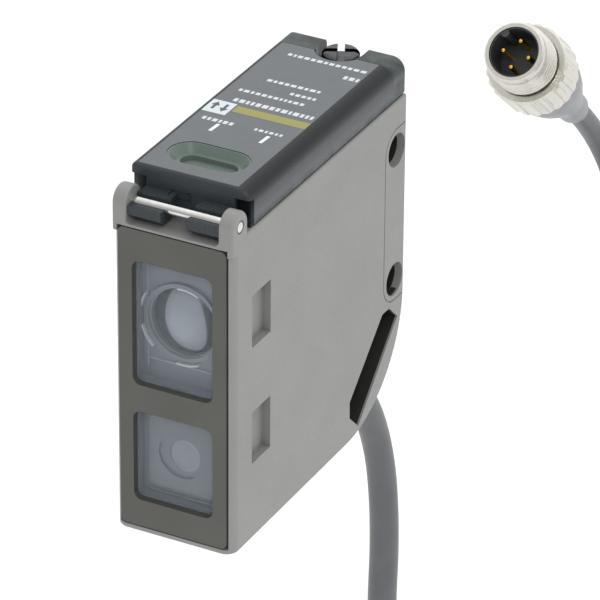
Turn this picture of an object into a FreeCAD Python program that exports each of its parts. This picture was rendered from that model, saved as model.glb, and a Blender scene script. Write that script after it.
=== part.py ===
"""Distance-settable photoelectric sensor with a pre-wired M12 plug.

Painted zinc case, hinged smoke cover over the setting panel, two windows in a
front plate, four-core cord leaving the rear lower corner at 45 degrees.

Everything is drawn in the case frame (x across from the middle, y back from the
front face, z up from the underside) and moved at export so that the origin lies
midway between the two mounting holes, on the middle plane. Millimetres.
"""
import FreeCAD
import Part
import math
import os

V = FreeCAD.Vector
os.makedirs("parts", exist_ok=True)

# ---- driving dimensions -------------------------------------------------
CASE_W = 17.8
CASE_D = 49.8
CASE_TOP = 46.8
HEIGHT = 52.3
CORNER_R = 16.8
LIP_TOP = 46.2
WALL_X = 6.9          # half width of the hollow inside the case

HOLE_Y = 46.9
HOLE_Z = (19.4, 39.4)
HOLE_R = 2.15
HOLE_CBORE_R = 2.45
HOLE_CBORE_DEPTH = 1.05

PLATE_HALF = 7.95
PLATE_Z = (0.95, 45.65)
PLATE_T = 1.2
WINDOW_HALF = 5.95
UPPER_WINDOW = (22.6, 41.1)
LOWER_WINDOW = (5.0, 18.6)
WINDOW_R = 1.2

PIN_Y = 2.2
PIN_Z = 48.6
PIN_R = 0.7
EAR_INNER = 6.8
EAR_R = 2.15
KNUCKLE_R = 1.9
HINGE_PLAY = 0.06

COVER_HALF = 8.85
COVER_Y = (5.1, 49.7)
COVER_Z = 47.3
SCREW_Y = 47.3
NOTCH_R = 3.35
LEDGE_Z = 49.4

RX_Z = 31.8           # optical axis of the receiver
TX_Z = 11.9           # optical axis of the emitter
KNOB_Y = 27.0
SELECTOR_Y = 36.4
LED_Y = 11.8
LED_X = 2.7
OVAL_X = -0.6         # centre of the lamp window moulded in the cover
OVAL_Y = 11.2

CORD_D = 4.3
PLUG_FRONT = V(-53.8, 219.7, -35.4)
PLUG_AXIS = V(-0.02, 0.765, -0.644).normalize()
PLUG_LENGTH = 38.0

ORIGIN = V(0, HOLE_Y, (HOLE_Z[0] + HOLE_Z[1]) / 2)
EXIT = V(0, 44.9, 4.9)
EXIT_DIR = V(0, 1, -1).normalize()
GLAND_OUT = 3.96


# ---- small helpers --------------------------------------------------------
def box(x0, x1, y0, y1, z0, z1):
    return Part.makeBox(x1 - x0, y1 - y0, z1 - z0, V(x0, y0, z0))


def cyl(r, start, end):
    axis = end - start
    return Part.makeCylinder(r, axis.Length, start, axis)


def along(start, axis, distance):
    return start + V(axis).multiply(distance)


def fuse(shapes):
    body = shapes[0].multiFuse(shapes[1:])
    return body.removeSplitter()


def cut(body, tools):
    return body.cut(tools)


def prism_yz(points, half):
    """Closed outline in the y-z plane, extruded to both sides of x = 0."""
    wire = Part.makePolygon([V(-half, y, z) for y, z in points + points[:1]])
    return Part.Face(wire).extrude(V(2 * half, 0, 0))


def rounded_xz(half, z0, z1, r, y0, y1):
    """Upright rounded rectangle, from y0 back to y1."""
    block = box(-half, half, y0, y1, z0, z1)
    return block.makeFillet(r, edges_along(block, V(0, 1, 0)))


def edges_along(shape, direction, keep=lambda c: True):
    found = []
    for edge in shape.Edges:
        if not isinstance(edge.Curve, Part.Line):
            continue
        run = edge.Vertexes[-1].Point - edge.Vertexes[0].Point
        if run.Length < 1e-6:
            continue
        if abs(abs(run.normalize().dot(direction)) - 1) < 1e-6 and keep(edge.CenterOfMass):
            found.append(edge)
    return found


def stadium(cx, cy, z, length, width):
    """Flat stadium wire along x."""
    r = width / 2
    a = length / 2 - r
    arc_right = Part.Arc(V(cx + a, cy - r, z), V(cx + a + r, cy, z), V(cx + a, cy + r, z))
    arc_left = Part.Arc(V(cx - a, cy + r, z), V(cx - a - r, cy, z), V(cx - a, cy - r, z))
    edges = [
        Part.LineSegment(V(cx - a, cy - r, z), V(cx + a, cy - r, z)).toShape(),
        arc_right.toShape(),
        Part.LineSegment(V(cx + a, cy + r, z), V(cx - a, cy + r, z)).toShape(),
        arc_left.toShape(),
    ]
    return Part.Wire(edges)


def turned(points, base, axis):
    """Solid of revolution from (distance along axis, radius) pairs."""
    wire = Part.makePolygon([V(r, 0, s) for s, r in points + points[:1]])
    solid = Part.Face(wire).revolve(V(0, 0, 0), V(0, 0, 1), 360)
    placement = FreeCAD.Placement(base, FreeCAD.Rotation(V(0, 0, 1), axis))
    solid.Placement = placement.multiply(solid.Placement)
    return solid


def rounded_path(points):
    """Straight runs joined by tangent arcs; returns the wire and the arc radii."""
    edges = []
    radii = []
    here = points[0]
    for before, corner, after in zip(points, points[1:], points[2:]):
        d_in = V(corner - before).normalize()
        d_out = V(after - corner).normalize()
        turn = math.acos(max(-1.0, min(1.0, d_in.dot(d_out))))
        setback = 0.45 * min((corner - before).Length, (after - corner).Length)
        radius = setback / math.tan(turn / 2)
        start = along(corner, d_in, -setback)
        end = along(corner, d_out, setback)
        to_centre = V(d_out - d_in).normalize()
        centre = along(corner, to_centre, radius / math.cos(turn / 2))
        middle = along(centre, to_centre, -radius)
        edges.append(Part.LineSegment(here, start).toShape())
        edges.append(Part.Arc(start, middle, end).toShape())
        radii.append(radius)
        here = end
    edges.append(Part.LineSegment(here, points[-1]).toShape())
    return Part.Wire(edges), radii


def tube(points, diameter):
    path, radii = rounded_path(points)
    first = V(points[1] - points[0]).normalize()
    ring = Part.Wire([Part.Circle(points[0], first, diameter / 2).toShape()])
    solid = path.makePipeShell([ring], True, True)
    return solid, path, radii


def export(name, shape):
    moved = shape.copy()
    moved.translate(V(0, 0, 0) - ORIGIN)
    solids = len(moved.Solids)
    moved.exportStep("parts/" + name + ".step")
    print(f"{name:20s} solids {solids}  volume {moved.Volume:9.2f}  valid {moved.isValid()}")


# ---- die-cast case ------------------------------------------------------------
half = CASE_W / 2
arc_mid = V(-half, CASE_D - CORNER_R * (1 - math.sqrt(0.5)), CORNER_R * (1 - math.sqrt(0.5)))
outline = Part.Wire([
    Part.LineSegment(V(-half, 0, 0), V(-half, CASE_D - CORNER_R, 0)).toShape(),
    Part.Arc(V(-half, CASE_D - CORNER_R, 0), arc_mid, V(-half, CASE_D, CORNER_R)).toShape(),
    Part.LineSegment(V(-half, CASE_D, CORNER_R), V(-half, CASE_D, CASE_TOP)).toShape(),
    Part.LineSegment(V(-half, CASE_D, CASE_TOP), V(-half, 0, CASE_TOP)).toShape(),
    Part.LineSegment(V(-half, 0, CASE_TOP), V(-half, 0, 0)).toShape(),
])
block = Part.Face(outline).extrude(V(CASE_W, 0, 0))
FRONT_R = 1.8
EDGE_R = 0.35
block = block.makeFillet(FRONT_R, edges_along(block, V(0, 0, 1), lambda c: c.y < 1))
rim = []
for edge in block.Edges:
    c = edge.CenterOfMass
    on_side = abs(c.x) > half - 0.01 and abs(c.y - FRONT_R) > 0.01
    on_front_foot = abs(c.z) < 0.001 and c.y < FRONT_R - 0.1
    on_top = c.z > CASE_TOP - 0.01
    if on_side or on_front_foot or on_top:
        rim.append(edge)
block = block.makeFillet(EDGE_R, rim)

# Ears either side of the hinge, full to the corner down to just below the lip.
ears = []
for side in (-1, 1):
    x0 = min(side * EAR_INNER, side * half)
    x1 = max(side * EAR_INNER, side * half)
    post = box(x0, x1, PIN_Y - EAR_R, PIN_Y + EAR_R, 44.9, PIN_Z)
    ear = fuse([post, cyl(EAR_R, V(x0, PIN_Y, PIN_Z), V(x1, PIN_Y, PIN_Z))])
    outer = [e for e in ear.Edges if abs(e.CenterOfMass.x - side * half) < 0.01 and e.CenterOfMass.z > 45]
    ear = ear.makeFillet(0.5, outer)
    inner = [e for e in ear.Edges if abs(e.CenterOfMass.x - side * EAR_INNER) < 0.01 and e.CenterOfMass.z > 45]
    ears.append(ear.makeFillet(0.25, inner))
case = fuse([block] + ears)
step = box(-EAR_INNER, EAR_INNER, -1, 5.2, LIP_TOP, CASE_TOP + 1)
step = step.makeFillet(0.6, edges_along(step, V(0, 1, 0), lambda c: c.z < LIP_TOP + 0.1))
case = case.cut(step)

# Hollow for the electronics, open at the top.
hollow = prism_yz([(2.6, 2.4), (31.5, 2.4), (31.5, 6.2), (42.6, 17.3), (42.6, 44.0), (2.6, 44.0)], WALL_X)
mouth = box(-WALL_X, WALL_X, 6.6, 42.6, 43.5, CASE_TOP + 1)
recess = box(-PLATE_HALF - 0.2, PLATE_HALF + 0.2, -1, PLATE_T, PLATE_Z[0] - 0.2, PLATE_Z[1] + 0.2)
tools = [hollow, mouth, recess]
for z0, z1 in (UPPER_WINDOW, LOWER_WINDOW):
    tools.append(box(-WALL_X, WALL_X, 0.5, 3.0, z0 - 1.2, z1 + 1.2))

# Mounting holes with counterbores and the fine groove that outlines their pad.
for z in HOLE_Z:
    tools.append(cyl(HOLE_R, V(-half - 1, HOLE_Y, z), V(half + 1, HOLE_Y, z)))
    for side in (-1, 1):
        tools.append(cyl(HOLE_CBORE_R, V(side * (half - HOLE_CBORE_DEPTH), HOLE_Y, z),
                         V(side * (half + 1), HOLE_Y, z)))
PAD_R = 3.35
for side in (-1, 1):
    x_in = side * (half - 0.15)
    x_out = side * (half + 1)
    for z in HOLE_Z:
        x0 = min(x_in, x_out)
        ring_a = cyl(PAD_R, V(x_in, HOLE_Y, z), V(x_out, HOLE_Y, z))
        ring_b = cyl(PAD_R - 0.18, V(x_in, HOLE_Y, z), V(x_out, HOLE_Y, z))
        keep = box(-20, 20, HOLE_Y - 5, HOLE_Y, z - 5, z)
        if z == HOLE_Z[1]:
            keep = box(-20, 20, HOLE_Y - 5, HOLE_Y, z, z + 5)
        tools.append(ring_a.cut(ring_b).common(keep))
        tip = z + (PAD_R if z == HOLE_Z[1] else -PAD_R)
        z_lo = min(tip, tip - 0.18 if z == HOLE_Z[1] else tip + 0.18)
        tools.append(box(x0, x0 + 1.15, HOLE_Y, CASE_D + 1, z_lo, z_lo + 0.18))
    tools.append(box(x0, x0 + 1.15, HOLE_Y - PAD_R, HOLE_Y - PAD_R + 0.18, HOLE_Z[0], HOLE_Z[1]))

# Side pockets near the front and the slot across the rear lower corner.
POCKETS = ((29.2, 37.0), (11.6, 19.45))
SLOT = [(45.5, 15.45), (48.05, 13.0), (36.5, 1.3), (33.85, 3.85), (33.8, 6.4), (43.4, 15.5)]
for side in (-1, 1):
    for z0, z1 in POCKETS:
        x0 = half - 1.25 if side > 0 else -half - 1
        tools.append(box(x0, x0 + 2.25, 5.42, 10.57, z0, z1))
    x0 = half - 3.3 if side > 0 else -half - 1
    wire = Part.makePolygon([V(x0, y, z) for y, z in SLOT + SLOT[:1]])
    slot = Part.Face(wire).extrude(V(4.3, 0, 0))
    boss = cyl(6.7, along(EXIT, EXIT_DIR, -11), along(EXIT, EXIT_DIR, 1))
    tools.append(slot.cut(boss))

# Bore for the cord gland, seat for the threaded insert, holes for the pin.
tools.append(cyl(3.95, along(EXIT, EXIT_DIR, -3.4), along(EXIT, EXIT_DIR, 6)))
tools.append(cyl(3.05, along(EXIT, EXIT_DIR, -13), along(EXIT, EXIT_DIR, -3)))
tools.append(cyl(2.5, V(0, SCREW_Y, 45.9), V(0, SCREW_Y, CASE_TOP + 1)))
tools.append(cyl(2.1, V(0, SCREW_Y, 42.6), V(0, SCREW_Y, 46)))
tools.append(cyl(PIN_R, V(-half - 1, PIN_Y, PIN_Z), V(half + 1, PIN_Y, PIN_Z)))
for side in (-1, 1):
    tools.append(cyl(PIN_R + 0.25, V(side * (half - 0.25), PIN_Y, PIN_Z), V(side * (half + 1), PIN_Y, PIN_Z)))
case = case.cut(tools)
export("case", case)

# ---- front plate, window panes, optics -------------------------------------------
plate = rounded_xz(PLATE_HALF, PLATE_Z[0], PLATE_Z[1], 0.8, 0.0, PLATE_T)
for z0, z1 in (UPPER_WINDOW, LOWER_WINDOW):
    plate = plate.cut(rounded_xz(WINDOW_HALF, z0, z1, WINDOW_R, -1, PLATE_T + 1))
export("front_plate", plate)


def pane(z0, z1):
    land = rounded_xz(WINDOW_HALF - 0.3, z0 + 0.3, z1 - 0.3, WINDOW_R - 0.2, 0.55, PLATE_T + 0.1)
    flange = box(-WALL_X + 0.1, WALL_X - 0.1, PLATE_T, PLATE_T + 0.5, z0 - 1.1, z1 + 1.1)
    return fuse([land, flange])


export("upper_window", pane(*UPPER_WINDOW))
export("lower_window", pane(*LOWER_WINDOW))

gasket_frame = box(-WALL_X, WALL_X, PLATE_T + 0.5, 3.2, 3.8, 42.3)
for z0, z1 in (UPPER_WINDOW, LOWER_WINDOW):
    gasket_frame = gasket_frame.cut(box(-6.1, 6.1, 0, 5, z0 - 0.15, z1 + 0.15))
case_bar = box(-WALL_X - 1, WALL_X + 1, 1, 2.6, 19.8, 21.4)
gasket_frame = gasket_frame.cut(case_bar)
export("window_gasket", gasket_frame)

HOLDER_Y = (3.3, 6.4)
holder = box(-WALL_X, WALL_X, HOLDER_Y[0], HOLDER_Y[1], 3.0, 43.0)
lens_seat = cyl(5.2, V(0, 4.1, RX_Z), V(0, 7, RX_Z))
lens_mouth = cyl(4.9, V(0, 2, RX_Z), V(0, 4.2, RX_Z))
holder = holder.cut([lens_seat, lens_mouth, rounded_xz(4.9, 6.2, 17.6, 1.0, 3, 7)])
rim = cyl(5.7, V(0, 2.8, RX_Z), V(0, 3.4, RX_Z)).cut(cyl(5.15, V(0, 2, RX_Z), V(0, 4, RX_Z)))
shade = box(-WALL_X, WALL_X, HOLDER_Y[1] - 0.1, 13.0, 20.2, 21.0)
holder = fuse([holder, rim, shade])
export("lens_holder", holder)

DOME_H = 2.1
DOME_BASE = 4.8
dome_r = (DOME_BASE ** 2 + DOME_H ** 2) / (2 * DOME_H)
ball = Part.makeSphere(dome_r, V(0, 4.1 - DOME_H + dome_r, RX_Z))
front_cap = ball.common(cyl(DOME_BASE, V(0, 1, RX_Z), V(0, 4.15, RX_Z)))
rear_ball = Part.makeSphere(9.0, V(0, 5.2 + 1.4 - 9.0, RX_Z))
rear_cap = rear_ball.common(cyl(4.8, V(0, 5.1, RX_Z), V(0, 7, RX_Z)))
disc = cyl(5.2, V(0, 4.1, RX_Z), V(0, 5.2, RX_Z))
export("receiver_lens", fuse([disc, front_cap, rear_cap]))

tx_block = rounded_xz(4.9, 6.2, 17.6, 1.0, 2.3, 5.4)
dish = cyl(3.4, V(0, 2.0, TX_Z), V(0, 2.7, TX_Z))
tx_ball = Part.makeSphere(6.0, V(0, 2.35 + 6.0, TX_Z)).common(cyl(3.0, V(0, 2, TX_Z), V(0, 3, TX_Z)))
export("emitter_lens", fuse([tx_block.cut(dish), tx_ball]))

# ---- boards and what stands on them ------------------------------------------------
export("sensor_board", box(-WALL_X, WALL_X, 13.2, 14.2, 4.0, 42.5).cut(
    cyl(1.1, V(0, 12, 22.5), V(0, 16, 22.5))))
led_body = cyl(2.4, V(0, 11.8, TX_Z), V(0, 13.2, TX_Z))
led_dome = cyl(1.5, V(0, 9.2, TX_Z), V(0, 11.9, TX_Z))
led_tip = Part.makeSphere(1.5, V(0, 9.2, TX_Z))
export("emitter_led", fuse([led_body, led_dome, led_tip]))
diode = box(-3.2, 3.2, 11.4, 13.2, RX_Z - 3.6, RX_Z + 3.6)
diode = diode.cut(box(-1.2, 1.2, 11.2, 11.7, RX_Z - 2.2, RX_Z + 2.2))
export("position_diode", diode)

export("main_board", box(-5.4, -4.4, 14.2, 41.5, 20.5, 42.0))
processor = [box(-4.4, -3.2, 17, 24, 31, 38)]
for i in range(8):
    z = 31.55 + i * 0.84
    processor.append(box(-4.4, -4.1, 16.2, 24.8, z, z + 0.35))
export("processor", fuse(processor))
transistors = []
for z in (22.5, 26.5):
    transistors.append(box(-4.4, -3.3, 17, 19.6, z, z + 1.5))
    transistors.append(box(-4.4, -4.2, 16.4, 20.2, z + 0.3, z + 1.2))
export("output_transistors", fuse(transistors[:2]).fuse(fuse(transistors[2:])))
can = cyl(2.4, V(-4.4, 36.5, 33.5), V(1.2, 36.5, 33.5))
export("smoothing_capacitor", can.makeFillet(0.4, [e for e in can.Edges if abs(e.CenterOfMass.x - 1.2) < 0.01]))
header = box(-4.4, -1.2, 25.6, 34.6, 24.0, 28.0)
export("lead_header", header)

# ---- setting panel under the cover ---------------------------------------------------
PANEL = (44.6, 46.2)
panel = box(-WALL_X, WALL_X, 6.6, 42.6, PANEL[0], PANEL[1])
panel = panel.cut([
    cyl(3.15, V(0, KNOB_Y, 40), V(0, KNOB_Y, 50)),
    cyl(2.35, V(0, SELECTOR_Y, 40), V(0, SELECTOR_Y, 50)),
    cyl(1.5, V(-LED_X, LED_Y, 40), V(-LED_X, LED_Y, 50)),
    cyl(1.5, V(LED_X, LED_Y, 40), V(LED_X, LED_Y, 50)),
])
scale_marks = []
for i in range(11):
    angle = math.radians(-150 + 30 * i)
    start = V(4.0 * math.sin(angle), KNOB_Y - 4.0 * math.cos(angle), PANEL[1] + 0.05)
    scale_marks.append(cyl(0.22, start - V(0, 0, 0.2), start + V(0, 0, 0.1)))
panel = panel.cut(scale_marks)
export("control_panel", panel)

def lamp(x):
    base = cyl(1.45, V(x, LED_Y, 43.4), V(x, LED_Y, 46.4))
    return fuse([base, Part.makeSphere(1.45, V(x, LED_Y, 46.4))])


export("stability_lamp", lamp(-LED_X))
export("light_lamp", lamp(LED_X))

ring_r = 2.95
knob = cyl(ring_r, V(0, KNOB_Y, 44.3), V(0, KNOB_Y, 49.2))
grips = []
for i in range(18):
    angle = math.radians(20 * i)
    spot = V(ring_r * math.cos(angle), KNOB_Y + ring_r * math.sin(angle), 46.6)
    grips.append(cyl(0.22, spot, spot + V(0, 0, 3)))
slot_cut = box(-0.45, 0.45, KNOB_Y - 3.2, KNOB_Y + 3.2, 48.2, 50)
arrow = box(-0.18, 0.18, KNOB_Y - 2.6, KNOB_Y - 0.4, 48.05, 48.3)
knob = knob.cut(grips + [slot_cut, arrow])
stem = cyl(0.9, V(0, KNOB_Y, 42.0), V(0, KNOB_Y, 44.4))
export("distance_knob", fuse([knob, stem]))
pot = box(-4.0, 4.0, KNOB_Y - 4, KNOB_Y + 4, 39.6, 42.6).cut(cyl(0.95, V(0, KNOB_Y, 41.5), V(0, KNOB_Y, 43)))
export("potentiometer", pot)

dial = cyl(2.25, V(0, SELECTOR_Y, 44.3), V(0, SELECTOR_Y, 47.6))
dial = dial.cut([
    box(-0.4, 0.4, SELECTOR_Y - 2.4, SELECTOR_Y + 2.4, 46.8, 48),
    box(-0.9, 0.9, SELECTOR_Y - 2.4, SELECTOR_Y - 1.5, 46.8, 48),
])
export("mode_selector", fuse([dial, cyl(0.8, V(0, SELECTOR_Y, 42.0), V(0, SELECTOR_Y, 44.4))]))
switch = box(-3.0, 3.0, SELECTOR_Y - 3, SELECTOR_Y + 3, 40.2, 42.6)
export("selector_switch", switch.cut(cyl(0.85, V(0, SELECTOR_Y, 41.5), V(0, SELECTOR_Y, 43))))

# Shaft holes through the small board.
board = box(-WALL_X, WALL_X, 7.5, 40.5, 42.6, 43.4)
board = board.cut([
    cyl(1.2, V(0, KNOB_Y, 42), V(0, KNOB_Y, 44)),
    cyl(1.1, V(0, SELECTOR_Y, 42), V(0, SELECTOR_Y, 44)),
])
export("indicator_board", board)

# ---- cover and its hinge -----------------------------------------------------------
cover = box(-COVER_HALF, COVER_HALF, COVER_Y[0], COVER_Y[1], COVER_Z, HEIGHT)
right_top = edges_along(cover, V(0, 1, 0), lambda c: c.z > HEIGHT - 0.1 and c.x > 0)
cover = cover.makeFillet(2.0, right_top)
left_top = edges_along(cover, V(0, 1, 0), lambda c: c.z > HEIGHT - 0.1 and c.x < -8)
cover = cover.makeFillet(0.7, left_top)
cover = cover.makeFillet(0.8, edges_along(cover, V(0, 0, 1), lambda c: c.y > COVER_Y[1] - 0.1))
brow = [e for e in cover.Edges if abs(e.CenterOfMass.y - COVER_Y[0]) < 0.01 and e.CenterOfMass.z > 50.5]
cover = cover.makeFillet(0.5, brow)
inner = box(-7.3, 7.3, 7.6, 42.0, COVER_Z - 1, 51.0)
inner = inner.makeFillet(1.2, edges_along(inner, V(0, 1, 0), lambda c: c.z > 50))
window_block = stadium(OVAL_X, OVAL_Y, 49.5, 13.0, 7.2)
window_block = Part.Face(window_block).extrude(V(0, 0, 2))
cover = cover.cut(inner.cut(window_block))
oval_top = stadium(OVAL_X, OVAL_Y, HEIGHT + 0.01, 11.4, 6.0)
oval_step = stadium(OVAL_X, OVAL_Y, 51.1, 9.4, 4.3)
oval_well = Part.Face(stadium(OVAL_X, OVAL_Y, 50.4, 8.2, 3.2)).extrude(V(0, 0, 1))
tools = [Part.makeLoft([oval_step, oval_top], True), oval_well]
for side in (-1, 1):
    x0 = 6.5 if side > 0 else -9.5
    relief = box(x0, x0 + 3, 4, 6.05, 46, 50.9)
    tools.append(relief)
tools.append(cyl(NOTCH_R, V(0, SCREW_Y, LEDGE_Z), V(0, SCREW_Y, 54)))
tools.append(box(-NOTCH_R, NOTCH_R, SCREW_Y, 51, LEDGE_Z, 54))
tools.append(cyl(2.6, V(0, SCREW_Y, 46), V(0, SCREW_Y, 48.5)))
tools.append(cyl(1.45, V(0, SCREW_Y, 46), V(0, SCREW_Y, 50)))
tools.append(box(-2.9, 0.1, COVER_Y[0] - 1, COVER_Y[0] + 0.12, 48.6, 49.8).cut(
    box(-2.7, -0.1, COVER_Y[0] - 1, COVER_Y[0] + 0.2, 48.8, 49.6)))
LABEL_T = 0.1
tools.append(box(-8.1, 6.75, COVER_Y[0] + 0.6, 45.7, HEIGHT - LABEL_T, HEIGHT + 1))
knuckles = []
for side in (-1, 1):
    x0 = min(side * 1.85, side * (EAR_INNER - 0.1))
    x1 = max(side * 1.85, side * (EAR_INNER - 0.1))
    nose = [
        (PIN_Y - 1.75, PIN_Z + 0.1), (PIN_Y - 1.75, PIN_Z - 1.2), (PIN_Y - 1.0, PIN_Z - KNUCKLE_R),
        (PIN_Y + 1.0, PIN_Z - KNUCKLE_R), (PIN_Y + 1.6, PIN_Z - 1.3), (PIN_Y + 1.6, PIN_Z + 0.1),
    ]
    wire = Part.makePolygon([V(x0, y, z) for y, z in nose + nose[:1]])
    barrel = Part.Face(wire).extrude(V(x1 - x0, 0, 0))
    web = box(x0, x1, PIN_Y + 0.9, COVER_Y[0] + 0.5, COVER_Z, PIN_Z + 0.9)
    knuckles.append(fuse([barrel, web]))
cover = fuse([cover] + knuckles)
tools.append(cyl(PIN_R + HINGE_PLAY, V(-8, PIN_Y, PIN_Z), V(8, PIN_Y, PIN_Z)))
cover = cover.cut(tools)
export("top_cover", cover)

label = box(-8.05, 6.7, COVER_Y[0] + 0.65, 45.65, HEIGHT - LABEL_T, HEIGHT)
label_hole = Part.Face(stadium(OVAL_X, OVAL_Y, HEIGHT - 1, 11.7, 6.3)).extrude(V(0, 0, 2))
label = label.cut([label_hole, cyl(NOTCH_R + 0.25, V(0, SCREW_Y, 50), V(0, SCREW_Y, 54))])
export("label_sheet", label)

export("hinge_pin", cyl(PIN_R, V(-half + 0.05, PIN_Y, PIN_Z), V(half - 0.05, PIN_Y, PIN_Z)))

seal = box(-8.5, 8.5, 5.6, 49.3, CASE_TOP, COVER_Z)
seal = seal.cut([box(-7.3, 7.3, 7.6, 42.0, 46, 48), cyl(2.75, V(0, SCREW_Y, 46), V(0, SCREW_Y, 48))])
export("cover_gasket", seal)

# ---- captive cover screw --------------------------------------------------------------
insert = cyl(2.1, V(0, SCREW_Y, 42.6), V(0, SCREW_Y, 45.9)).cut(
    cyl(1.55, V(0, SCREW_Y, 42), V(0, SCREW_Y, 46)))
export("threaded_insert", insert)
HEAD_TOP = 52.25
head = cyl(2.65, V(0, SCREW_Y, LEDGE_Z), V(0, SCREW_Y, HEAD_TOP))
head = head.makeFillet(0.8, [e for e in head.Edges if abs(e.CenterOfMass.z - HEAD_TOP) < 0.01])
slots = [
    box(-3, 3, SCREW_Y - 0.5, SCREW_Y + 0.5, 50.8, 53),
    box(-0.5, 0.5, SCREW_Y - 3, SCREW_Y + 3, 50.8, 53),
]
for slot in slots:
    slot.rotate(V(0, SCREW_Y, 0), V(0, 0, 1), 25)
head = head.cut(slots)
shank = cyl(1.25, V(0, SCREW_Y, 45.0), V(0, SCREW_Y, LEDGE_Z))
groove = cyl(1.5, V(0, SCREW_Y, 46.2), V(0, SCREW_Y, 46.65)).cut(
    cyl(1.0, V(0, SCREW_Y, 46), V(0, SCREW_Y, 47)))
export("cover_screw", fuse([head, shank]).cut(groove))
washer = cyl(2.1, V(0, SCREW_Y, 46.25), V(0, SCREW_Y, 46.6)).cut(
    cyl(1.05, V(0, SCREW_Y, 46), V(0, SCREW_Y, 47)))
export("captive_washer", washer)

# ---- cord gland, cores, cord --------------------------------------------------------------
gland = turned([
    (-9.0, 0.0), (-9.0, 2.6), (-3.4, 2.6), (-3.4, 3.9), (0.35, 3.9), (0.35, 3.5), (0.95, 3.4),
    (0.95, 3.0), (1.45, 3.0), (1.45, 3.3), (2.15, 3.2), (2.15, 2.85), (2.65, 2.85), (2.65, 3.1),
    (GLAND_OUT, 2.8), (GLAND_OUT, 0.0),
], EXIT, EXIT_DIR)
export("cord_gland", gland)
clamp = turned([(-8.0, 2.6), (-8.0, 3.0), (-4.6, 3.0), (-4.6, 2.6)], EXIT, EXIT_DIR)
export("gland_clamp", clamp)

cores = []
for i in range(4):
    start = along(EXIT, EXIT_DIR, -9.0) + V((i - 1.5) * 1.15, 0, 0)
    inside = along(start, EXIT_DIR, -7.0)
    under = V(-2.8, 26.7 + 2.2 * i, 19.5)
    cores.append(tube([start, inside, under, V(-2.8, 26.7 + 2.2 * i, 24.0)], 0.9)[0])
export("lead_cores", Part.makeCompound(cores))

PLUG_TAIL = along(PLUG_FRONT, PLUG_AXIS, PLUG_LENGTH)
cord_route = [
    along(EXIT, EXIT_DIR, GLAND_OUT),
    V(0.0, 54.6, -4.8),
    V(0.3, 60.6, -17.0),
    V(0.6, 62.3, -31.5),
    V(0.4, 61.8, -46.5),
    V(-1.0, 65.5, -64.0),
    V(-4.5, 80.0, -86.5),
    V(-10.0, 106.0, -109.0),
    V(-15.0, 140.0, -127.5),
    V(-19.5, 177.0, -140.0),
    V(-25.5, 213.0, -143.0),
    V(-35.0, 243.5, -129.5),
    V(-45.0, 261.0, -107.0),
    V(-52.0, 265.0, -83.0),
    along(PLUG_TAIL, PLUG_AXIS, 12.0),
    PLUG_TAIL,
]
cord, cord_path, cord_radii = tube(cord_route, CORD_D)
section = math.pi * CORD_D ** 2 / 4
print("cord length", round(cord_path.Length, 1), "arc radii", [round(r, 1) for r in cord_radii])
print("cord volume", round(cord.Volume, 1), "section x length", round(section * cord_path.Length, 1))
export("cord_tube", cord)

# ---- plug -----------------------------------------------------------------------------------
nut_profile = [(0.0, 4.6), (0.0, 5.2), (0.3, 5.5), (2.0, 5.5), (2.4, 5.95)]
for i in range(4):
    s = 2.7 + i
    nut_profile += [(s, 5.95), (s + 0.35, 5.6), (s + 0.5, 5.6), (s + 0.85, 5.95)]
nut_profile += [(6.8, 5.95), (6.8, 5.4), (7.4, 5.4), (7.4, 7.1), (7.9, 7.6), (14.8, 7.6), (15.5, 7.0),
                (15.5, 4.6)]
nut = turned(nut_profile, PLUG_FRONT, PLUG_AXIS)
side_dir = PLUG_AXIS.cross(V(0, 0, 1)).normalize()
up_dir = side_dir.cross(PLUG_AXIS).normalize()
flutes = []
FLUTES = 22
for i in range(FLUTES):
    angle = 2 * math.pi * i / FLUTES
    radial = V(side_dir).multiply(math.cos(angle)) + V(up_dir).multiply(math.sin(angle))
    spot = along(along(PLUG_FRONT, radial, 8.05), PLUG_AXIS, 7.2)
    flutes.append(cyl(0.8, spot, along(spot, PLUG_AXIS, 9)))
export("coupling_nut", nut.cut(flutes))

insert_cup = turned([(0.25, 4.32), (0.25, 4.52), (9.6, 4.52), (9.6, 0.0), (6.2, 0.0), (6.2, 4.32)],
                    PLUG_FRONT, PLUG_AXIS)
KEY_TURN = math.radians(131)
key_dir = V(side_dir).multiply(math.cos(KEY_TURN)) + V(up_dir).multiply(math.sin(KEY_TURN))
key_base = along(along(PLUG_FRONT, PLUG_AXIS, 0.25), key_dir, 4.1)
key = cyl(0.75, key_base, along(key_base, PLUG_AXIS, 6.0))
key = key.common(cyl(4.4, PLUG_FRONT, along(PLUG_FRONT, PLUG_AXIS, 9)))
export("plug_insert", fuse([insert_cup, key]))

pins = []
for i in range(4):
    angle = KEY_TURN + math.radians(45 + 90 * i)
    radial = V(side_dir).multiply(math.cos(angle)) + V(up_dir).multiply(math.sin(angle))
    spot = along(PLUG_FRONT, radial, 2.5)
    shaft = cyl(0.5, along(spot, PLUG_AXIS, 1.4), along(spot, PLUG_AXIS, 6.2))
    tip = Part.makeSphere(0.5, along(spot, PLUG_AXIS, 1.4))
    pins.append(fuse([shaft, tip]))
export("plug_pins", Part.makeCompound(pins))

plug_body = turned([
    (9.6, 0.0), (9.6, 4.52), (15.6, 4.52), (15.6, 6.4), (20.0, 6.4), (23.5, 5.7), (27.6, 4.5),
    (31.0, 3.5), (33.2, 2.95), (34.6, 3.0), (36.6, 2.95), (37.6, 2.7), (PLUG_LENGTH, 2.4), (PLUG_LENGTH, 0.0),
], PLUG_FRONT, PLUG_AXIS)
export("plug_body", plug_body)
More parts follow.
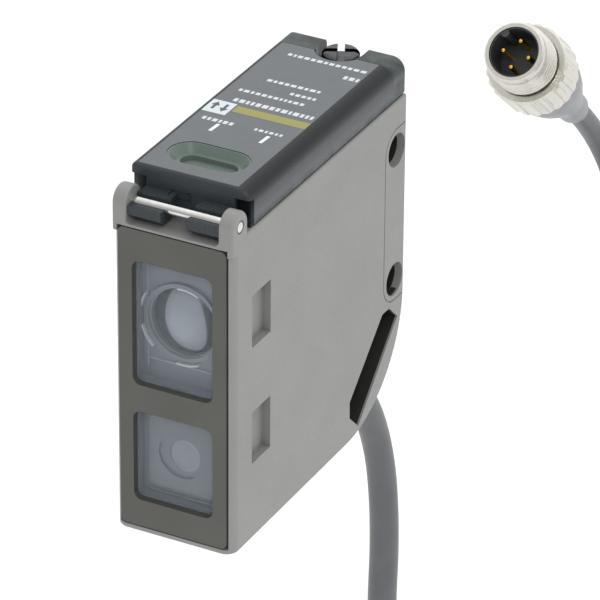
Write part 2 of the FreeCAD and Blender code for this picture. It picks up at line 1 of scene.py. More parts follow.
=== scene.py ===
# %% [markdown]
# # A photoelectric sensor, finished for a studio picture
# The sensor is a slim painted metal box that looks at things through two windows, with a smoke
# cover hinged over its setting knobs and a short cord that ends in a round threaded plug.
# The hard shapes come from the CAD model. This lesson adds the camera, the light, the cord, the
# printing and every surface finish.

# %% Load the frame
import math
import random

import bmesh
import bpy
from mathutils import Matrix, Vector


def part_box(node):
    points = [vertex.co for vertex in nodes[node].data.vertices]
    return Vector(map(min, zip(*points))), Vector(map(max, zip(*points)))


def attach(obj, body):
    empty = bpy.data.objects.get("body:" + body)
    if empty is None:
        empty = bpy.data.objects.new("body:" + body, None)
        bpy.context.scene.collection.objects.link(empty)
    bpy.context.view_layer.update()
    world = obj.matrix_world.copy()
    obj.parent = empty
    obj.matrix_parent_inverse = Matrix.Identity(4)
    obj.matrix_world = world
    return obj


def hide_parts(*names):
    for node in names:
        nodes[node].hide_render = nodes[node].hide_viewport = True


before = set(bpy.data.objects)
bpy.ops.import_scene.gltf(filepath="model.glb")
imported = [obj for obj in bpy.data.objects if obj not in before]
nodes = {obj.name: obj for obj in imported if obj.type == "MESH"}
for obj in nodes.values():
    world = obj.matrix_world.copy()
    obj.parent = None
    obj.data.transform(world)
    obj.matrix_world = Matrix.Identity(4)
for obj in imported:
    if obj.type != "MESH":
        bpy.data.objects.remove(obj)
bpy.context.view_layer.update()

# %% [markdown]
# ## The camera
# A long lens, almost 300 mm, looks down at the front corner from about two thirds of a metre. So
# far away, the upright edges stay nearly parallel, which is how small parts are usually pictured.

# %% Place the camera
LENS_MM = 295.4
SENSOR_MM = 36.0
CAMERA_PLACE = (0.2717, -0.5327, 0.3175)
right = Vector((0.8851, 0.4653, 0.0069)).normalized()
forward = Vector((-0.4035, 0.7748, -0.4868)).normalized()
up = right.cross(forward).normalized()
right = forward.cross(up)

camera_data = bpy.data.cameras.new("camera")
camera_data.lens = LENS_MM
camera_data.sensor_width = SENSOR_MM
camera_data.clip_start = 0.05
camera_data.clip_end = 20.0
camera = bpy.data.objects.new("camera", camera_data)
bpy.context.scene.collection.objects.link(camera)
camera.matrix_world = Matrix.Translation(CAMERA_PLACE) @ Matrix(
    (right, up, -forward)).transposed().to_4x4()
bpy.context.scene.camera = camera
print("camera at", [round(v, 3) for v in camera.location], "lens", camera_data.lens, "mm")

# %% [markdown]
# ## The cord
# The cord is 4.3 mm PVC-sheathed cable. It leaves the gland at 45 degrees, drops, sweeps back under
# its own weight and comes up to the plug. One smooth NURBS curve through few control points gives
# the even bends of real cable, and a round bevel makes it solid. Each point carries the cord's
# radius and the bevel depth is 1, because a curve's box is grown by the radius of its points.

# %% Draw the cord
CORD_DIAMETER = 0.0043
CORD_ROUTE = [
    (0.0, 0.0008, -0.0273), (0.0, 0.0077, -0.0342), (0.0003, 0.0137, -0.0464),
    (0.0006, 0.0154, -0.0609), (0.0004, 0.0149, -0.0759), (-0.001, 0.0186, -0.0934),
    (-0.0045, 0.0331, -0.1159), (-0.010, 0.0591, -0.1384), (-0.015, 0.0931, -0.1569),
    (-0.0195, 0.1301, -0.1694), (-0.0255, 0.1661, -0.1724), (-0.035, 0.1966, -0.1589),
    (-0.045, 0.2141, -0.1364), (-0.052, 0.2181, -0.1124), (-0.0548, 0.211043, -0.096994),
    (-0.05456, 0.201865, -0.089268),
]
cord_curve = bpy.data.curves.new("sensor_cord", "CURVE")
cord_curve.dimensions = "3D"
spline = cord_curve.splines.new("NURBS")
spline.points.add(len(CORD_ROUTE) - 1)
for point, place in zip(spline.points, CORD_ROUTE):
    point.co = (*place, 1.0)
    point.radius = CORD_DIAMETER / 2
spline.order_u = 3
spline.use_endpoint_u = True
spline.resolution_u = 24
cord_curve.bevel_depth = 1.0
cord_curve.bevel_resolution = 6
cord_curve.use_fill_caps = True
sensor_cord = bpy.data.objects.new("sensor_cord", cord_curve)
bpy.context.scene.collection.objects.link(sensor_cord)
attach(sensor_cord, "case")
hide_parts("cord_tube")
print("cord control points:", len(CORD_ROUTE))

# %% [markdown]
# ## Helpers for finishes
# Colours are written as the hex values a paint shop would give, and one function turns them to the
# linear light values that Blender mixes. One more function adds a shader node with its settings,
# values and links, so that each finish below reads as a short recipe. Every surface then gets two
# kinds of unevenness: a slow drift of colour, and a fine relief with a little play in its gloss.

# %% Write the helpers
def linear(hex_colour):
    channels = []
    for i in (1, 3, 5):
        c = int(hex_colour[i:i + 2], 16) / 255
        channels.append(c / 12.92 if c <= 0.04045 else ((c + 0.055) / 1.055) ** 2.4)
    return (*channels, 1.0)


def add_node(tree, kind, values=None, links=None, **settings):
    node = tree.nodes.new(kind)
    for name, value in settings.items():
        setattr(node, name, value)
    for socket, value in (values or {}).items():
        node.inputs[socket].default_value = value
    for socket, source in (links or {}).items():
        tree.links.new(source, node.inputs[socket])
    return node


def new_finish(name, colour, roughness, **values):
    """A material with one Principled shader; returns the material, its tree and the shader."""
    material = bpy.data.materials.new(name)
    material.use_nodes = True
    tree = material.node_tree
    tree.nodes.clear()
    shader = add_node(tree, "ShaderNodeBsdfPrincipled",
                      {"Base Color": linear(colour), "Roughness": roughness, **values})
    add_node(tree, "ShaderNodeOutputMaterial", links={"Surface": shader.outputs["BSDF"]})
    return material, tree, shader


def mottle(tree, shader, light, dark, size_mm):
    """Drifts the base colour between two near shades over patches of a given size."""
    place = add_node(tree, "ShaderNodeTexCoord")
    patches = add_node(tree, "ShaderNodeTexNoise", {"Scale": 1000 / size_mm, "Detail": 4.0},
                       {"Vector": place.outputs["Object"]})
    ramp = add_node(tree, "ShaderNodeValToRGB", links={"Fac": patches.outputs["Fac"]})
    for i, (position, shade) in enumerate(((0.35, dark), (0.65, light))):
        ramp.color_ramp.elements[i].position = position
        ramp.color_ramp.elements[i].color = linear(shade)
    tree.links.new(ramp.outputs["Color"], shader.inputs["Base Color"])
    return ramp


def grain(tree, shader, size_mm, depth_mm, rough_low, rough_high):
    """A bumpy skin of a given grain size, which also scatters the gloss a little."""
    place = add_node(tree, "ShaderNodeTexCoord")
    bumps = add_node(tree, "ShaderNodeTexNoise", {"Scale": 1000 / size_mm, "Detail": 2.0},
                     {"Vector": place.outputs["Object"]})
    relief = add_node(tree, "ShaderNodeBump", {"Strength": 0.6, "Distance": depth_mm / 1000},
                      {"Height": bumps.outputs["Fac"]})
    tree.links.new(relief.outputs["Normal"], shader.inputs["Normal"])
    gloss = add_node(tree, "ShaderNodeMapRange",
                     {"From Min": 0.3, "From Max": 0.7, "To Min": rough_low, "To Max": rough_high},
                     {"Value": bumps.outputs["Fac"]})
    tree.links.new(gloss.outputs["Result"], shader.inputs["Roughness"])


def dress(material, *names):
    for name in names:
        for slot in nodes[name].material_slots:
            slot.material = material


print("helpers ready; mid grey #808080 is", round(linear("#808080")[0], 3), "linear")

# %% [markdown]
# ## The floor
# A wide white floor gives the clean cut-out look of a catalogue picture. It lies about 3 cm below
# the lowest bend of the cord, because the sensor hangs. Its paint is matt white, with hardly any
# shine, so that the ground stays even.

# %% Lay and paint the floor
FLOOR_Z = -0.205
FLOOR_RADIUS = 6.0
floor_mesh = bpy.data.meshes.new("floor")
floor_form = bmesh.new()
bmesh.ops.create_circle(floor_form, cap_ends=True, radius=FLOOR_RADIUS, segments=64,
                        matrix=Matrix.Translation((0, 0, FLOOR_Z)))
floor_form.to_mesh(floor_mesh)
floor_form.free()
floor = bpy.data.objects.new("floor", floor_mesh)
bpy.context.scene.collection.objects.link(floor)

floor_white, floor_tree, floor_shader = new_finish("matt_white_backdrop", "#fafafa", 0.9)
mottle(floor_tree, floor_shader, "#fbfbfb", "#f9f9f9", 400)
floor_mesh.materials.append(floor_white)
print("floor at z", FLOOR_Z, "m")

# %% [markdown]
# ## The light
# The sky is a soft gradient: dim in front, brighter behind and overhead, so that the front faces
# come out a step darker than the side. The camera itself sees an even white. One large soft box
# adds what a smooth sky can't, a highlight on the round lens.

# %% Light the studio
BACKDROP_LIGHT = 1.05
world = bpy.data.worlds.new("studio")
world.use_nodes = True
sky = world.node_tree
heading = add_node(sky, "ShaderNodeTexCoord")
heading_axes = add_node(sky, "ShaderNodeSeparateXYZ",
                        links={"Vector": heading.outputs["Generated"]})
front_to_back = add_node(sky, "ShaderNodeMapRange",
                         {"From Min": -0.7, "From Max": 0.5, "To Min": 0.5, "To Max": 1.12},
                         {"Value": heading_axes.outputs["Y"]})
overhead = add_node(sky, "ShaderNodeMapRange",
                    {"From Min": 0.3, "From Max": 1.0, "To Min": 0.0, "To Max": 0.5},
                    {"Value": heading_axes.outputs["Z"]})
level = add_node(sky, "ShaderNodeMath", links={0: front_to_back.outputs["Result"],
                                               1: overhead.outputs["Result"]}, operation="ADD")
seen = add_node(sky, "ShaderNodeLightPath")
strength = add_node(sky, "ShaderNodeMix", {"B": BACKDROP_LIGHT},
                    {"Factor": seen.outputs["Is Camera Ray"], "A": level.outputs["Value"]})
background = sky.nodes["Background"]
background.inputs["Color"].default_value = (1.0, 1.0, 1.0, 1.0)
sky.links.new(strength.outputs["Result"], background.inputs["Strength"])
bpy.context.scene.world = world
bpy.context.scene.view_settings.view_transform = "Standard"

KEY_PLACE = Vector((0.55, -0.87, 0.87))
KEY_SIZE = 0.42
KEY_WATTS = 3.2
key_data = bpy.data.lights.new("key_box", "AREA")
key_data.shape = "SQUARE"
key_data.size = KEY_SIZE
key_data.energy = KEY_WATTS
key_box = bpy.data.objects.new("key_box", key_data)
key_box.location = KEY_PLACE
key_box.rotation_euler = (-KEY_PLACE).to_track_quat("-Z", "Y").to_euler()
bpy.context.scene.collection.objects.link(key_box)
print("soft box", KEY_SIZE, "m wide,", round(KEY_PLACE.length, 2), "m from the sensor")

# %% [markdown]
# ## Painted zinc
# The case is zinc, die cast and sprayed with a satin paint. The paint film is a little
# orange-peeled: bumps about 0.35 mm across and a few micrometres deep. The front plate carries the
# same kind of paint in a darker olive grey. The two mounting bores and the long slots near the cord
# are deep and lie in shade, so the paint there is darkened to a near black painted shade. The
# shader finds them by measuring: a bore is whatever is near its axis, and a slot is whatever lies
# inside the skin of the rounded rear corner.

# %% Find the bores and slots that get painted shade
BORE_HEIGHTS = (-0.010, 0.010)
BORE_REACH = 0.00226
CORNER_CENTRE = (0.0, -0.0139, -0.0126)
SLOT_REACH = 0.0163
SLOT_HALF_WIDTH = 0.0086
SLOT_TOP = -0.0121

case_paint, tree, shader = new_finish("satin_paint_on_zinc_casting", "#888887", 0.5)
place = add_node(tree, "ShaderNodeTexCoord")
axes = add_node(tree, "ShaderNodeSeparateXYZ", links={"Vector": place.outputs["Object"]})
side_view = add_node(tree, "ShaderNodeCombineXYZ", links={"Y": axes.outputs["Y"],
                                                          "Z": axes.outputs["Z"]})
bores = []
for height in BORE_HEIGHTS:
    from_axis = add_node(tree, "ShaderNodeVectorMath", {1: (0.0, 0.0, height)},
                         {0: side_view.outputs["Vector"]}, operation="DISTANCE")
    bores.append(add_node(tree, "ShaderNodeMath", {1: BORE_REACH},
                          {0: from_axis.outputs["Value"]}, operation="LESS_THAN"))
bore_shade = add_node(tree, "ShaderNodeMath", links={0: bores[0].outputs["Value"],
                                                  1: bores[1].outputs["Value"]},
                   operation="MAXIMUM")
from_corner = add_node(tree, "ShaderNodeVectorMath", {1: CORNER_CENTRE},
                       {0: side_view.outputs["Vector"]}, operation="DISTANCE")
off_middle = add_node(tree, "ShaderNodeMath", links={0: axes.outputs["X"]}, operation="ABSOLUTE")
slot_tests = []
for source, limit in ((from_corner.outputs["Value"], SLOT_REACH),
                      (off_middle.outputs["Value"], SLOT_HALF_WIDTH),
                      (axes.outputs["Z"], SLOT_TOP)):
    slot_tests.append(add_node(tree, "ShaderNodeMath", {1: limit}, {0: source},
                               operation="LESS_THAN"))
two_of_three = add_node(tree, "ShaderNodeMath", links={0: slot_tests[0].outputs["Value"],
                                                       1: slot_tests[1].outputs["Value"]},
                        operation="MULTIPLY")
slot_shade = add_node(tree, "ShaderNodeMath", links={0: two_of_three.outputs["Value"],
                                                  1: slot_tests[2].outputs["Value"]},
                   operation="MULTIPLY")
shaded = add_node(tree, "ShaderNodeMath", links={0: bore_shade.outputs["Value"],
                                               1: slot_shade.outputs["Value"]}, operation="MAXIMUM")
print("bare metal: bores within", BORE_REACH * 1000, "mm of", len(bores), "axes, and the slots")

# %% [markdown]
# The paint itself is one colour that drifts a little, with the painted shade of the bores and slots
# laid over it. The plate is sprayed on its own, a good deal darker, and has no painted shade.

# %% Paint the case and the plate
shade = mottle(tree, shader, "#898988", "#858584", 9)
grain(tree, shader, 0.35, 0.006, 0.42, 0.55)
# Near black painted shade replaces the paint wherever the bore and slot masks are set.
painted = add_node(tree, "ShaderNodeMix", {"B": linear("#242421")},
                   {"Factor": shaded.outputs["Value"], "A": shade.outputs["Color"]},
                   data_type="RGBA")
tree.links.new(painted.outputs["Result"], shader.inputs["Base Color"])
dress(case_paint, "case")

plate_paint, tree, shader = new_finish("satin_paint_on_pressed_plate", "#4e4f4a", 0.45)
mottle(tree, shader, "#4f504b", "#4b4c47", 7)
grain(tree, shader, 0.3, 0.005, 0.38, 0.5)
dress(plate_paint, "front_plate")
print("painted: case, front_plate")

# %% [markdown]
# ## Clear moulded parts
# Windows and lenses are acrylic, IOR 1.49, polished in the mould. The panes are thin, so they are
# made see-through with alpha, which keeps the lenses behind them lit. The lenses themselves are
# thick, and the bright image of light seen through each one is painted light: an oval in the
# middle is painted paler than the rim. That painted light is an oval, so each lens has its height,
# its half width and half height, and how far it leans.

# %% Make the acrylic
ACRYLIC_IOR = 1.49
PANE_ALPHA = 0.14
LENS_TRANSMISSION = 0.3
PATCH_X = 0.0005
PATCH_EDGE = {"From Min": 1.02, "From Max": 0.94}
LENS_LIGHT_PATCHES = [
    ("receiver_lens", 0.0030, 0.0029, 0.0048, -0.24, "#c0c8d2", "#565c64"),
    ("emitter_lens", -0.0175, 0.0022, 0.0024, 0.0, "#a9b0bb", "#8d949e"),
]
pane_acrylic, tree, shader = new_finish("clear_acrylic_pane", "#8d969c", 0.04, IOR=ACRYLIC_IOR,
                                        Alpha=PANE_ALPHA)
grain(tree, shader, 3.0, 0.002, 0.03, 0.06)
dress(pane_acrylic, "upper_window", "lower_window")

for lens, centre_z, half_x, half_z, lean, pale, dark in LENS_LIGHT_PATCHES:
    lens_acrylic, tree, shader = new_finish("polished_acrylic_" + lens, pale, 0.05, IOR=ACRYLIC_IOR,
                                            **{"Transmission Weight": LENS_TRANSMISSION})
    grain(tree, shader, 2.0, 0.002, 0.03, 0.07)
    place = add_node(tree, "ShaderNodeTexCoord")
    oval = add_node(tree, "ShaderNodeMapping",
                    {"Location": (PATCH_X, 0.0, centre_z), "Rotation": (0.0, lean, 0.0),
                     "Scale": (half_x, 1.0, half_z)},
                    {"Vector": place.outputs["Object"]}, vector_type="TEXTURE")
    reach = add_node(tree, "ShaderNodeVectorMath", links={0: oval.outputs["Vector"]},
                     operation="LENGTH")
    lit_patch = add_node(tree, "ShaderNodeMapRange", PATCH_EDGE, {"Value": reach.outputs["Value"]})
    # Inside the oval the pale colour is painted light; outside it the rim keeps the dark colour.
    tint = add_node(tree, "ShaderNodeMix", {"A": linear(dark), "B": linear(pale)},
                    {"Factor": lit_patch.outputs["Result"]}, data_type="RGBA")
    tree.links.new(tint.outputs["Result"], shader.inputs["Base Color"])
    dress(lens_acrylic, lens)
print("clear parts: panes alpha", PANE_ALPHA, "and lenses transmission", LENS_TRANSMISSION)

# %% [markdown]
# ## Smoke polycarbonate
# The cover is tinted polycarbonate, thick and glossy. It looks nearly black where there is dark
# behind it, and grey-green where light gets through: along its lower flange, in the band behind
# the label and in the lamp window. Ramps along the part's own axes give those lighter zones. Each
# ramp runs from the place where the cover is still dark to the place where it is fully lit.

# %% Find the cover's lighter zones
COVER_ZONES = [
    ("flange", "Z", 0.0190, 0.0181), ("behind_front", "Y", -0.0415, -0.0405),
    ("rear_band", "Y", -0.0014, -0.0010), ("down_side", "Z", 0.0222, 0.0185),
    ("front", "Y", -0.0412, -0.0416),
]
SIDE_STARTS, SIDE_FULL = 0.0081, 0.0087

cover_smoke, tree, shader = new_finish("smoke_polycarbonate_cover", "#15181a", 0.3, IOR=1.585,
                                       **{"Specular IOR Level": 0.18})
grain(tree, shader, 0.6, 0.0015, 0.24, 0.34)
place = add_node(tree, "ShaderNodeTexCoord")
axes = add_node(tree, "ShaderNodeSeparateXYZ", links={"Vector": place.outputs["Object"]})
zones = {}
for zone, axis, dark_at, lit_at in COVER_ZONES:
    ramp = add_node(tree, "ShaderNodeMapRange", {"From Min": dark_at, "From Max": lit_at},
                    {"Value": axes.outputs[axis]})
    zones[zone] = ramp.outputs["Result"]
flange_lit = add_node(tree, "ShaderNodeMath", links={0: zones["flange"],
                                                     1: zones["behind_front"]},
                      operation="MULTIPLY")
lit = add_node(tree, "ShaderNodeMath", links={0: flange_lit.outputs["Value"],
                                              1: zones["rear_band"]}, operation="MAXIMUM")
side_x = add_node(tree, "ShaderNodeMath", links={0: axes.outputs["X"]}, operation="ABSOLUTE")
on_side = add_node(tree, "ShaderNodeMapRange", {"From Min": SIDE_STARTS, "From Max": SIDE_FULL},
                   {"Value": side_x.outputs["Value"]})
side_glow = add_node(tree, "ShaderNodeMath", links={0: on_side.outputs["Result"],
                                                    1: zones["down_side"]}, operation="MULTIPLY")
print("ramps on the cover:", ", ".join(zones))

# %% [markdown]
# The lamp window is an oval: a straight middle with round ends. Taking the straight part off the
# sideways distance leaves only what reaches into a round end, and that is measured as a circle.

# %% Find the lamp window
WINDOW_X, WINDOW_Y = -0.0006, -0.0357
WINDOW_STRAIGHT = 0.0027
WINDOW_RADIUS = 0.0031

sideways = add_node(tree, "ShaderNodeMath", {1: -WINDOW_X}, {0: axes.outputs["X"]}, operation="ADD")
across = add_node(tree, "ShaderNodeMath", links={0: sideways.outputs["Value"]},
                  operation="ABSOLUTE")
past_straight = add_node(tree, "ShaderNodeMath", {1: WINDOW_STRAIGHT},
                         {0: across.outputs["Value"]}, operation="SUBTRACT")
into_end = add_node(tree, "ShaderNodeMath", {1: 0.0}, {0: past_straight.outputs["Value"]},
                    operation="MAXIMUM")
along = add_node(tree, "ShaderNodeMath", {1: -WINDOW_Y}, {0: axes.outputs["Y"]}, operation="ADD")
end_place = add_node(tree, "ShaderNodeCombineXYZ", links={"X": into_end.outputs["Value"],
                                                          "Y": along.outputs["Value"]})
window_reach = add_node(tree, "ShaderNodeVectorMath", links={0: end_place.outputs["Vector"]},
                        operation="LENGTH")
window_lit = add_node(tree, "ShaderNodeMath", {1: WINDOW_RADIUS},
                      {0: window_reach.outputs["Value"]}, operation="LESS_THAN")
print("lamp window:", (WINDOW_STRAIGHT + WINDOW_RADIUS) * 2000, "mm across")

# %% [markdown]
# The tints go on in layers, each over the one before: the dark body with its glowing sides, the
# front face, the cloudy lit zones, and last the pale lamp window.

# %% Mix the cover's tints
CLOUD_SCALE = 350.0  # patches a little under 3 mm across

body_tint = add_node(tree, "ShaderNodeMix", {"A": linear("#171a1c"), "B": linear("#54585c")},
                     {"Factor": side_glow.outputs["Value"]}, data_type="RGBA")
# The front face is painted a step lighter: painted light coming through the cover there.
front_tint = add_node(tree, "ShaderNodeMix", {"B": linear("#363c3f")},
                      {"Factor": zones["front"], "A": body_tint.outputs["Result"]},
                      data_type="RGBA")
clouds = add_node(tree, "ShaderNodeTexNoise", {"Scale": CLOUD_SCALE, "Detail": 2.0},
                  {"Vector": place.outputs["Object"]})
cloud_ramp = add_node(tree, "ShaderNodeValToRGB", links={"Fac": clouds.outputs["Fac"]})
for i, (position, cloud) in enumerate(((0.4, "#2d3433"), (0.62, "#485150"))):
    cloud_ramp.color_ramp.elements[i].position = position
    cloud_ramp.color_ramp.elements[i].color = linear(cloud)
zone_tint = add_node(tree, "ShaderNodeMix",
                     links={"Factor": lit.outputs["Value"], "A": front_tint.outputs["Result"],
                            "B": cloud_ramp.outputs["Color"]}, data_type="RGBA")
window_tint = add_node(tree, "ShaderNodeMix", {"B": linear("#68756e")},
                       {"Factor": window_lit.outputs["Value"], "A": zone_tint.outputs["Result"]},
                       data_type="RGBA")
tree.links.new(window_tint.outputs["Result"], shader.inputs["Base Color"])
dress(cover_smoke, "top_cover")
print("cover: dark body, lit flange and rear band, pale oval window")

# %% [markdown]
# ## Everything else that is moulded, turned or plated
# Each entry is the real material and process, a light and a dark shade, the roughness, the grain
# size and depth in millimetres, any other shader values, and the nodes that wear it. Real grain on
# ground or turned metal is finer than 0.1 mm; it is drawn coarser here, so that it shows at all.

# %% Make the small finishes
METAL = {"Metallic": 1.0}
PATCH_PER_GRAIN = 6
GLOSS_PLAY = 0.15
SMALL_FINISHES = [
    # Printed film is even and satin, with one broad, faint shine.
    ("printed_polyester_label", "#595e61", "#565b5e", 0.34, 0.5, 0.002, {}, ["label_sheet"]),
    # Rubber and silicone are nearly matt, so their edges fade softly.
    ("moulded_black_rubber", "#161616", "#121212", 0.7, 0.4, 0.008, {}, ["cover_gasket"]),
    # The window gasket's light grey is partly its own colour and partly painted sheen, for the
    # shine of the panes.
    ("moulded_silicone_with_painted_sheen", "#868c95", "#80868f", 0.5, 0.4, 0.006, {}, ["window_gasket"]),
    ("moulded_gland_rubber", "#3a3c3e", "#353739", 0.6, 0.4, 0.008, {}, ["cord_gland"]),
    # Moulded ABS has a fine texture from its mould, which spreads the highlight.
    # The holder's light grey is partly its own colour and partly painted sheen, for the shine of
    # the panes in front.
    ("moulded_abs_holder_with_painted_sheen", "#8b919b", "#848a94", 0.4, 0.5, 0.006, {}, ["lens_holder"]),
    ("moulded_black_abs_panel", "#2a2c2e", "#262829", 0.5, 0.25, 0.008, {}, ["control_panel"]),
    # Solder mask is a glossy lacquer, chip epoxy is dull, and diode epoxy shines like glass.
    ("green_solder_mask", "#1f5a35", "#1b5130", 0.3, 0.8, 0.004, {},
     ["sensor_board", "main_board", "indicator_board"]),
    ("moulded_chip_epoxy", "#1a1a1c", "#151517", 0.55, 0.15, 0.006, {},
     ["position_diode", "processor", "output_transistors", "selector_switch"]),
    ("tinted_diode_epoxy", "#7a2a2c", "#6c2527", 0.12, 1.5, 0.002, {}, ["emitter_led"]),
    ("drawn_aluminium_can", "#c4c5c8", "#b8b9bc", 0.3, 0.6, 0.003, METAL,
     ["smoothing_capacitor"]),
    ("natural_nylon_header", "#d9d4c0", "#cfcab6", 0.45, 0.4, 0.006, {}, ["lead_header"]),
    ("green_lamp_epoxy", "#4f9a5c", "#478f54", 0.15, 1.0, 0.002, {}, ["stability_lamp"]),
    ("orange_lamp_epoxy", "#d98436", "#cf7a2e", 0.15, 1.0, 0.002, {}, ["light_lamp"]),
    # Knobs are satin plastic, made to be seen and gripped.
    ("moulded_white_pom_knob", "#dcdbd6", "#d2d1cc", 0.42, 0.4, 0.006, {},
     ["distance_knob", "mode_selector"]),
    ("moulded_blue_trimmer_body", "#2c4f96", "#27478a", 0.45, 0.4, 0.005, {}, ["potentiometer"]),
    # Metal mirrors the studio, sharply on the ground pin and blurred on turned or plated parts.
    ("ground_stainless_pin", "#d8d8d6", "#c9c9c7", 0.16, 0.25, 0.002, METAL, ["hinge_pin"]),
    ("turned_brass_insert", "#c9a35a", "#b8924c", 0.3, 0.3, 0.003, METAL, ["threaded_insert"]),
    ("black_nickel_screw", "#58595c", "#4a4b4e", 0.3, 0.3, 0.004, METAL, ["cover_screw"]),
    ("spring_steel_washer", "#a8a8a6", "#989896", 0.35, 0.3, 0.003, METAL, ["captive_washer"]),
    ("zinc_plated_clamp", "#b4b4ae", "#a2a29c", 0.35, 0.3, 0.003, METAL, ["gland_clamp"]),
    # Extruded PVC has a smooth, slightly waxy skin.
    ("extruded_core_pvc", "#6b4a33", "#5f412c", 0.4, 0.6, 0.003, {}, ["lead_cores"]),
    ("extruded_cord_pvc", "#595c5f", "#54575a", 0.38, 0.5, 0.006, {}, []),
    # The plug: bright turned nickel, dull moulded plastic and warm gold.
    ("nickel_plated_turned_brass", "#d3d1c9", "#cac8c0", 0.26, 0.12, 0.001, METAL,
     ["coupling_nut"]),
    ("moulded_black_plug_insert", "#3a3b3c", "#343536", 0.4, 0.3, 0.005, {}, ["plug_insert"]),
    ("gold_plated_contact", "#e0b45a", "#d2a54c", 0.18, 0.3, 0.001, METAL, ["plug_pins"]),
    ("moulded_grey_plug_pvc", "#929397", "#8b8c90", 0.45, 0.4, 0.008, {}, ["plug_body"]),
]
finishes = {}
for name, light, dark, roughness, size_mm, depth_mm, values, wearers in SMALL_FINISHES:
    material, tree, shader = new_finish(name, light, roughness, **values)
    mottle(tree, shader, light, dark, size_mm * PATCH_PER_GRAIN)
    grain(tree, shader, size_mm, depth_mm, roughness * (1 - GLOSS_PLAY),
          roughness * (1 + GLOSS_PLAY))
    dress(material, *wearers)
    finishes[name] = material
cord_curve.materials.append(finishes["extruded_cord_pvc"])
print("small finishes:", len(finishes))

# %% [markdown]
# ## Printing on the label
# The label is screen printed: a yellow band, a white box with two arrows, two ticks that point at
# the lamps, and rows of small type. The type is drawn as plain dashes. Ink is a raised film here,
# 0.02 mm thick, so each mark is real geometry that catches the light. Places are given in the
# case's own millimetres: x from the middle, y back from the front face.

# %% Write the ink helpers
INK = 0.00002
CASE_TO_ROW_Y = -0.0469
label_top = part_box("label_sheet")[1].z


def raise_plates(name, rings, rise):
    """One object of flat plates: each ring of points is filled, then thickened by rise."""
    form = bmesh.new()
    for ring in rings:
        face = form.faces.new([form.verts.new(place) for place in ring])
        grown = bmesh.ops.extrude_face_region(form, geom=[face])
        far_side = [g for g in grown["geom"] if isinstance(g, bmesh.types.BMVert)]
        bmesh.ops.translate(form, verts=far_side, vec=rise)
    bmesh.ops.recalc_face_normals(form, faces=form.faces)
    mesh = bpy.data.meshes.new(name)
    form.to_mesh(mesh)
    form.free()
    piece = bpy.data.objects.new(name, mesh)
    bpy.context.scene.collection.objects.link(piece)
    return piece


def ink_piece(name, outlines, hex_colour, base=label_top, body="cover", slot="label_film"):
    """Flat plates of ink; each outline is a list of (x, y) in case millimetres."""
    rings = [[(x / 1000, y / 1000 + CASE_TO_ROW_Y, base) for x, y in outline]
             for outline in outlines]
    piece = raise_plates(name, rings, (0, 0, INK))
    material, ink_tree, ink_shader = new_finish("screen_ink_" + name, hex_colour, 0.4)
    mottle(ink_tree, ink_shader, hex_colour, hex_colour, 2)
    grain(ink_tree, ink_shader, 0.4, 0.002, 0.34, 0.46)
    piece.data.materials.append(material)
    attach(piece, body)


def bar(x0, x1, y0, y1, lean=0.0):
    return [(x0, y0), (x1, y0), (x1 + lean, y1), (x0 + lean, y1)]


print("label top at z", round(label_top * 1000, 2), "mm, ink", INK * 1000, "mm thick")

# %% [markdown]
# The large marks come first. The arrows are a second ink on top of the white box, so they start
# one film higher.

# %% Print the band, the box, the arrows and the ticks
ARROW_UP = [(-7.2, 23.6), (-6.8, 23.6), (-6.8, 24.7), (-6.4, 24.7), (-7.0, 25.7), (-7.6, 24.7),
            (-7.2, 24.7)]
ARROW_DOWN = [(-5.7, 25.5), (-5.3, 25.5), (-5.3, 24.3), (-4.9, 24.3), (-5.5, 23.3), (-6.1, 24.3),
              (-5.7, 24.3)]
ticks = [bar(x, x + 0.5, 17.8, 20.0, 0.15) for x in (-4.35, 3.1)]
ink_piece("print_band", [bar(-4.2, 6.7, 24.0, 25.8)], "#8f8b46")
ink_piece("print_box", [bar(-8.0, -4.5, 22.6, 26.2)], "#cfd6d8")
ink_piece("print_arrows", [ARROW_UP, ARROW_DOWN], "#3f4a52", base=label_top + INK)
ink_piece("print_ticks", ticks, "#e9eef0")
print("marks: band, box, 2 arrows and", len(ticks), "ticks")

# %% [markdown]
# From a step away, small type reads as rows of short dashes. Their widths come from a seeded draw,
# so that they vary as words do and are still the same on every run.

# %% Print the type
TYPE_ROWS = [  # each row of type: x from, x to, y from, y to
    (-6.8, -2.0, 20.2, 21.4), (0.9, 5.2, 20.5, 21.4), (-5.6, 6.6, 26.6, 28.0),
    (-6.4, 3.8, 29.7, 30.7), (0.2, 4.0, 31.8, 32.8), (-4.4, 4.0, 34.0, 35.0),
    (4.2, 6.6, 39.3, 40.7), (-5.6, 6.4, 42.2, 43.2),
]
NARROWEST, WIDEST, GAP, LAST_START = 0.35, 0.85, 0.28, 0.3
ROW_MARGIN = 0.16
dice = random.Random(7)
dashes = []
for x0, x1, y0, y1 in TYPE_ROWS:
    margin = (y1 - y0) * ROW_MARGIN
    x = x0
    while x < x1 - LAST_START:
        width = min(dice.uniform(NARROWEST, WIDEST), x1 - x)
        dashes.append(bar(x, x + width, y0 + margin, y1 - margin))
        x += width + GAP
ink_piece("print_type_dashes", dashes, "#cdd4d7")
print("dashes of type:", len(dashes))

# %% [markdown]
# ## Steps moulded on the lens holder
# Behind the panes the holder has moulded steps: an upright and a ledge in the receiver's window, a
# frame in the emitter's, and short arcs round the big lens. Polished edges like these catch the
# light, which is most of what one sees in a sensor's window; here that is painted highlight, a
# lighter grey on the strips and near white glints on the arcs.

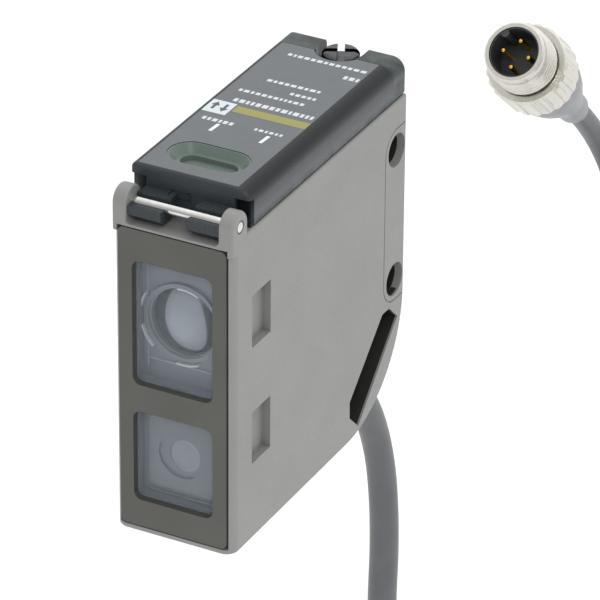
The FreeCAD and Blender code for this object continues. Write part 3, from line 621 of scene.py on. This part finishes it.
# %% Mould the steps
CASE_MIDDLE_Z_MM = 29.4
STRIP_DEPTH, ARC_DEPTH = 0.0003, 0.0006
RECEIVER_Z_MM = 31.8
ARC_WIDTH_MM = 0.22
ARC_STEP = 6
ARCS = ((62, 96, 4.95), (150, 172, 6.2), (196, 222, 6.2), (262, 292, 6.1))  # from, to, radius
STRIPS = [bar(-5.35, -5.2, 24.0, 40.0), bar(-5.2, 5.6, 25.2, 25.4), bar(-5.35, -5.2, 6.0, 17.4),
          bar(-5.2, 5.6, 5.1, 5.25)]
holder_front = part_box("lens_holder")[0].y + 0.0005


def step_piece(name, quads, hex_colour, depth):
    """Raised strips on the holder; each quad is four (x, z) in case millimetres."""
    front = holder_front - depth
    rings = [[(x / 1000, front, (z - CASE_MIDDLE_Z_MM) / 1000) for x, z in quad] for quad in quads]
    piece = raise_plates(name, rings, (0, depth, 0))
    material, step_tree, step_shader = new_finish("polished_" + name, hex_colour, 0.12)
    mottle(step_tree, step_shader, hex_colour, hex_colour, 3)
    grain(step_tree, step_shader, 0.8, 0.002, 0.1, 0.16)
    piece.data.materials.append(material)
    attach(piece, "case")


arcs = []
for start, end, radius in ARCS:
    for turn in range(start, end, ARC_STEP):
        a, b = math.radians(turn), math.radians(turn + ARC_STEP)
        outer = radius + ARC_WIDTH_MM
        arcs.append([(math.cos(t) * r, RECEIVER_Z_MM + math.sin(t) * r)
                     for t, r in ((a, radius), (b, radius), (b, outer), (a, outer))])
# The strips get a light grey painted highlight, and the arcs a near white painted glint.
step_piece("holder_edge_highlights", STRIPS, "#a6acb6", STRIP_DEPTH)
step_piece("holder_arc_glints", arcs, "#dfe4ea", ARC_DEPTH)
print("steps:", len(STRIPS), "strips and", len(arcs), "arc segments")

# %% [markdown]
# ## Marks on the setting panel
# Lift the cover and the panel shows a round scale for the distance knob and two dots for the
# selector. They ride on the case, because the panel is fixed in it.

# %% Print the panel
KNOB_Y_MM, SELECTOR_Y_MM = 27.0, 36.4
SCALE_MARKS, SCALE_START, SCALE_STEP = 11, -150, 30
MARK_FROM_MM, SHORT_TO_MM, LONG_TO_MM, MARK_HALF_MM = 4.4, 4.9, 5.3, 0.11
DOT_REACH_MM, DOT_RADIUS_MM, DOT_SIDES = 3.3, 0.35, 16
PANEL_INK = {"base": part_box("control_panel")[1].z, "body": "case", "slot": "panel_plastic"}

scale = []
for i in range(SCALE_MARKS):
    turn = math.radians(SCALE_START + SCALE_STEP * i)
    out = Vector((math.sin(turn), -math.cos(turn)))
    half = Vector((out.y, -out.x)) * MARK_HALF_MM
    a, b = out * MARK_FROM_MM, out * (LONG_TO_MM if i % 5 == 0 else SHORT_TO_MM)
    corners = (a - half, b - half, b + half, a + half)
    scale.append([tuple(corner + Vector((0, KNOB_Y_MM))) for corner in corners])
ink_piece("print_distance_scale", scale, "#dfe5e8", **PANEL_INK)

dots = []
for cx, cy in ((0, SELECTOR_Y_MM - DOT_REACH_MM), (DOT_REACH_MM, SELECTOR_Y_MM)):
    angles = [t * math.pi / (DOT_SIDES / 2) for t in range(DOT_SIDES)]
    dots.append([(cx + DOT_RADIUS_MM * math.cos(t), cy + DOT_RADIUS_MM * math.sin(t))
                 for t in angles])
ink_piece("print_selector_dots", dots, "#dfe5e8", **PANEL_INK)
print("panel:", len(scale), "marks and", len(dots), "dots")
